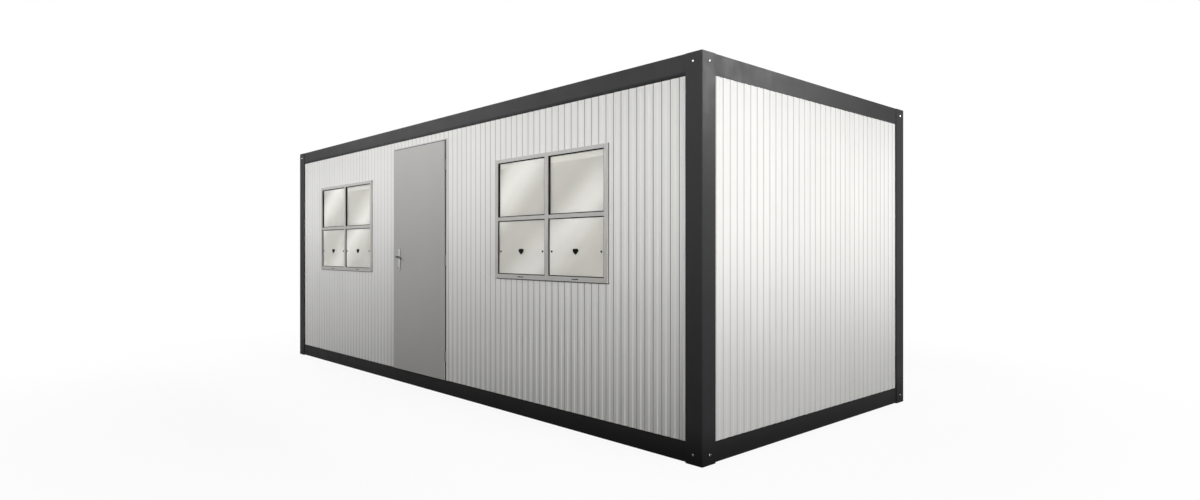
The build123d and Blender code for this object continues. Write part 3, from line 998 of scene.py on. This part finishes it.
@dataclass
class Door:
    """Door frame, lipped leaf, hinges and lever set, with seal, sealant bead and lock plate fittings."""

    # Painted shade: the seal reaches past the leaf's edge so its black shows as the gap's shade
    seal_from_edge: float = -0.0095
    seal_width: float = 0.0225
    seal_thickness: float = 0.0035
    seal_corner: float = 0.001
    bead: SealantBead = SealantBead(wide=0.003, foot=0.0)
    spindle: Span = (-0.611746, 1.352)
    plate_thickness: float = 0.008
    plate_drop: float = 0.035
    plate_straight: float = 0.197
    plate_radius: float = 0.019
    gasket_width: float = 0.002
    gasket_height: float = 0.0025
    cylinder_drop: float = 0.118
    cylinder_height: float = 0.015
    cylinder_radius: float = 0.0078
    cylinder_rim: float = 0.0012
    cylinder_shares: Shares = ((1.0, 0.0), (1.0, 0.6), (0.75, 1.0), (0.6, 0.3), (0.0, 0.3))
    screw_above: float = 0.065
    screw_below: float = 0.062
    screw_radius: float = 0.0045
    screw_dome: float = 0.0012
    screw_points: int = 5
    screw_sides: int = 18
    socket_share: float = 0.45
    socket_depth_share: float = 0.5

    def screw(self) -> np.ndarray:
        """Plate screw: a low dome, turned, with a six-sided socket."""
        share = np.linspace(0, 1, self.screw_points)
        radius = self.screw_radius * (1 - (1 - self.socket_share) * share)
        floor = -self.screw_dome * self.socket_depth_share
        socket = [(radius[-1], floor), (0.0, floor)]
        profile = np.vstack([np.column_stack([radius, self.screw_dome * np.sqrt(share)]), socket])
        hexed = np.concatenate([np.zeros(len(share) - 1), [1.0, 1.0, 1.0]])
        return turned(profile, hexed, self.screw_sides)

    def key_face(self) -> np.ndarray:
        """Face of the key cylinder: a raised rim round a sunk middle, turned."""
        profile = scaled(self.cylinder_shares, self.cylinder_radius, self.cylinder_rim)
        return turned(profile, np.zeros(len(profile)))

    def on_leaf(self, height: float, levels: list[float]) -> tuple[np.ndarray, np.ndarray]:
        """Seats over the spindle's line at some levels, on both sides of the leaf.

        Args:
            height: distance of the seats from the faces of the leaf.
            levels: distances of the seats above the spindle.

        Returns:
            Centres and normals, two arrays of shape (seats, 3).
        """
        low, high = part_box("door_leaf")
        side, z = np.meshgrid(np.array([-1.0, 1.0]), self.spindle[1] + np.array(levels))
        y = np.where(side < 0, low[1] - height, high[1] + height)
        flat = np.zeros(side.size)
        centres = np.column_stack([flat + self.spindle[0], y.ravel(), z.ravel()])
        return centres, np.column_stack([flat, side.ravel(), flat])

    def seal(self) -> np.ndarray:
        """Ring in the plane of the wall, the seal behind the lip, reaching past the leaf's edge: real rubber
        that also paints the shade of the gap round the leaf.
        """
        low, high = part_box("door_leaf")
        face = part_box("door_frame")[0][1]
        leaf = np.array([(low[0], high[0], low[2], high[2])])
        end = self.seal_from_edge + self.seal_width
        section = padded_strip(self.seal_from_edge, end, face - self.seal_thickness, face, self.seal_corner)
        return rings(leaf, section)

    def plate_shade_gaskets(self) -> np.ndarray:
        """Thin black gaskets round the feet of both lock plates, a dark outline that also paints the shade
        at the plates' edges.
        """
        low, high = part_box("door_leaf")
        centre = (self.spindle[0], self.spindle[1] - self.plate_drop)
        width = self.gasket_width
        feet = [(low[1], low[1] - self.gasket_height), (high[1], high[1] + self.gasket_height)]
        tracks = []
        for foot, top in feet:
            section = padded_strip(-width, width, top, foot, width * CORNER_SHARE) * np.array([-1.0, 1.0])
            tracks.append(racetrack(centre, self.plate_straight, self.plate_radius, section))
        return np.stack(tracks)

    def build(self, palette: Palette) -> None:
        """Makes the seal, the bead between frame and wall, and the fittings of both lock plates."""
        levels = [self.screw_above, -self.screw_below]
        screws = seated(self.screw(), *self.on_leaf(self.plate_thickness, levels))
        faces = seated(self.key_face(), *self.on_leaf(self.cylinder_height, [-self.cylinder_drop]))
        bead = self.bead.ring("door_frame")
        rows = [
            ("door_seal_and_shade", self.seal(), True, palette["rubber"], Body.CABIN, Slot.BLACK),
            ("door_bead", bead, True, palette["sealant"], Body.CABIN, Slot.PROFILE),
            ("lock_plate_shade_gaskets", self.plate_shade_gaskets(), True, palette["rubber"], Body.DOOR, Slot.BLACK),
            ("lock_plate_screws", screws, False, palette["bolt"], Body.DOOR, Slot.METAL),
            ("key_cylinder_faces", faces, False, palette["lever"], Body.DOOR, Slot.METAL),
        ]
        for name, points, ring, finish, body, slot in rows:
            belong(surface_object(name, points, finish, ring), body)

    def dress(self, nodes: Nodes, palette: Palette) -> None:
        """Dresses the door's nodes."""
        dress(nodes, ["door_leaf"], palette["door"])
        dress(nodes, ["door_frame"], palette["door_frame"])
        dress(nodes, ["door_hinge_pins", "door_hinge_barrels"], palette["hinge"])
        dress(nodes, ["door_lock_plates"], palette["plate"])
        dress(nodes, ["door_levers"], palette["lever"])


# Studio


class Seen(Enum):
    """What a lamp does: it lights matt surfaces, or it shows as a soft sheen in glossy ones."""

    SCATTERED = "scattered"
    MIRRORED = "mirrored"


@dataclass
class SoftLamp:
    """Area lamp: a rectangle that shines towards one point."""

    name: str
    place: Colour
    aim: Colour
    length: float
    breadth: float
    watts: float
    seen: Seen = Seen.SCATTERED
    colour: Colour = WHITE

    def build(self) -> None:
        """Adds the lamp, unseen by the camera, its long side level."""
        data = bpy.data.lights.new(self.name, "AREA")
        data.shape = "RECTANGLE"
        data.size = self.length
        data.size_y = self.breadth
        data.energy = self.watts
        data.color = self.colour
        lamp = bpy.data.objects.new(self.name, data)
        lamp.location = self.place
        way = Vector(self.aim) - Vector(self.place)
        lamp.rotation_euler = way.to_track_quat("-Z", "Y").to_euler()
        lamp.visible_camera = False
        lamp.visible_diffuse = self.seen is Seen.SCATTERED
        lamp.visible_glossy = self.seen is Seen.MIRRORED
        lamp.visible_transmission = False
        bpy.context.scene.collection.objects.link(lamp)
        log.info("%s, %.0f W", self.name, self.watts)


def in_sight(tree: bpy.types.NodeTree) -> Socket:
    """1 for rays from the camera and for those mirrored or passed on by glass, 0 for scattered light."""
    path = tree.nodes.new("ShaderNodeLightPath")
    total = path.outputs["Is Camera Ray"]
    for name in ("Is Glossy Ray", "Is Transmission Ray"):
        add = tree.nodes.new("ShaderNodeMath")
        add.operation = "MAXIMUM"
        tree.links.new(total, add.inputs[0])
        tree.links.new(path.outputs[name], add.inputs[1])
        total = add.outputs[0]
    return total


@dataclass
class Studio:
    """White surroundings, soft lamps along each side of the cabin, and the camera of the photograph."""

    floor_radius: float = 60.0
    floor_rings: int = 24
    floor_sides: int = 64
    ambient: float = 0.055
    shadow_share: float = 0.12
    shadow_reach: Span = (2.0, 7.0)
    bounce: Colour = (0.10, 0.10, 0.10)
    eye: Colour = (6.4352, -5.1617, 1.4234)
    view: Colour = (-0.73004, 0.68341, 0.0)
    lens: float = 21.332
    sensor: float = 36.0
    far: float = 500.0

    def lamps(self) -> list[SoftLamp]:
        """Lamps outside each wall, over the roof and in the room."""
        return [
            SoftLamp("front_lamp", (0.0, -3.3, 2.2), (0.0, -1.5, 2.15), 9.0, 0.5, 75.0),
            SoftLamp("front_fill", (-5.0, -4.6, 0.9), (-3.0, -1.5, 0.5), 2.4, 1.0, 23.0),
            SoftLamp("near_fill", (3.6, -3.0, 1.4), (3.1, -1.5, 1.35), 1.2, 0.6, 1.2),
            SoftLamp("eaves_lamp", (-0.2, -2.5, 2.75), (-0.2, -1.5, 2.4), 4.0, 0.3, 3.0),
            SoftLamp("right_lamp", (4.3, 0.2, 1.9), (3.5, 0.2, 1.9), 5.6, 1.95, 32.5),
            SoftLamp("rear_lamp", (0.0, 3.4, 2.3), (0.0, 1.5, 2.2), 9.5, 0.5, 90.0),
            SoftLamp("left_lamp", (-5.4, 0.0, 2.3), (-3.5, 0.0, 2.2), 5.6, 0.5, 75.0),
            SoftLamp("grazing_lamp", (25.0, -5.2, 5.5), (0.0, 0.0, 1.4), 5.0, 5.0, 2150.0),
            SoftLamp("top_lamp", (0.0, 0.0, 7.5), (0.0, 0.0, 0.0), 6.4, 2.6, 190.0),
            SoftLamp("right_sheen", (6.5, 1.4, 4.1), (3.5, -0.6, 2.4), 3.4, 2.5, 1240.0, Seen.MIRRORED),
            SoftLamp("front_sheen", (-0.8, -3.7, 3.8), (-0.8, -1.5, 2.6), 12.0, 1.1, 520.0, Seen.MIRRORED),
            SoftLamp("room_lamp", (0.0, 0.0, 2.5), (0.0, 0.0, 0.0), 5.6, 1.8, 5.0, colour=WARM),
            SoftLamp("ceiling_lamp", (0.0, 0.2, 0.6), (0.0, 0.2, 2.5), 5.6, 1.8, 26.0, colour=WARM),
        ]

    def floor(self) -> None:
        """Round floor: rings of points whose radius grows with the square of their number."""
        share = np.linspace(0, 1, self.floor_rings)
        angle = np.linspace(0, 2 * np.pi, self.floor_sides, endpoint=False)
        radius = self.floor_radius * share[:, None] ** 2 * np.ones_like(angle)[None, :]
        flat = np.zeros_like(radius)
        points = np.stack([radius * np.cos(angle), radius * np.sin(angle), flat], axis=-1)
        piece = surface_object("studio_floor", points[None], self.floor_finish())

    def floor_finish(self) -> Material:
        """White floor: its own light where it is seen, mixed near the cabin with paint that takes a shadow.

        Scattered light meets a dark paint instead, so little comes back up to the walls.
        """
        graph = Graph("studio_white")
        tree = graph.tree
        length = graph.add("VectorMath")
        length.operation = "LENGTH"
        graph.join(length.inputs[0], graph.place)
        shares = (self.shadow_share, 0.0)
        paint_share = graph.fit(length.outputs["Value"], self.shadow_reach, shares, smooth=True)
        paint = graph.add("BsdfDiffuse", Color=WHITE)
        glow = graph.add("Emission")
        white = graph.add("MixShader")
        graph.join(white.inputs[0], paint_share)
        tree.links.new(glow.outputs[0], white.inputs[1])
        tree.links.new(paint.outputs[0], white.inputs[2])
        dark = graph.add("BsdfDiffuse", Color=self.bounce)
        both = graph.add("MixShader")
        graph.join(both.inputs[0], in_sight(tree))
        tree.links.new(dark.outputs[0], both.inputs[1])
        tree.links.new(white.outputs[0], both.inputs[2])
        tree.links.new(both.outputs[0], tree.nodes["Material Output"].inputs["Surface"])
        tree.nodes.remove(graph.shader)
        return graph.material

    def world(self) -> None:
        """White where it is seen, a low even light elsewhere."""
        world = bpy.data.worlds.new("studio_world")
        bpy.context.scene.world = world
        world.use_nodes = True
        tree = world.node_tree
        background = tree.nodes["Background"]
        background.inputs["Color"].default_value = (*WHITE, 1.0)
        level = tree.nodes.new("ShaderNodeMapRange")
        level.inputs["To Min"].default_value = self.ambient
        level.inputs["To Max"].default_value = 1.0
        tree.links.new(in_sight(tree), level.inputs["Value"])
        tree.links.new(level.outputs[0], background.inputs["Strength"])

    def camera(self) -> None:
        """Camera at the photograph's place, level, with its lens."""
        data = bpy.data.cameras.new("photo_camera")
        data.sensor_fit = "HORIZONTAL"
        data.sensor_width = self.sensor
        data.lens = self.lens
        data.clip_end = self.far
        camera = bpy.data.objects.new("photo_camera", data)
        camera.location = self.eye
        camera.rotation_euler = Vector(self.view).to_track_quat("-Z", "Y").to_euler()
        bpy.context.scene.collection.objects.link(camera)
        bpy.context.scene.camera = camera

    def build(self) -> None:
        """Adds floor, world, lamps and camera."""
        self.floor()
        self.world()
        for lamp in self.lamps():
            lamp.build()
        self.camera()
        bpy.context.scene.view_settings.view_transform = "Standard"


def main() -> None:
    """Builds and dresses the cabin, then the studio."""
    logging.basicConfig(level=logging.INFO, format="%(name)s: %(message)s")
    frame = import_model()
    nodes = frame["nodes"]
    palette = {name: finish.material() for name, finish in FINISHES.items()}
    assemblies = [SteelFrame(), WallsAndFloor(), SlidingWindow("left"), SlidingWindow("right"), Door()]
    for assembly in assemblies:
        assembly.build(palette)
        assembly.dress(nodes, palette)
    Studio().build()


if __name__ == "__main__":
    main()
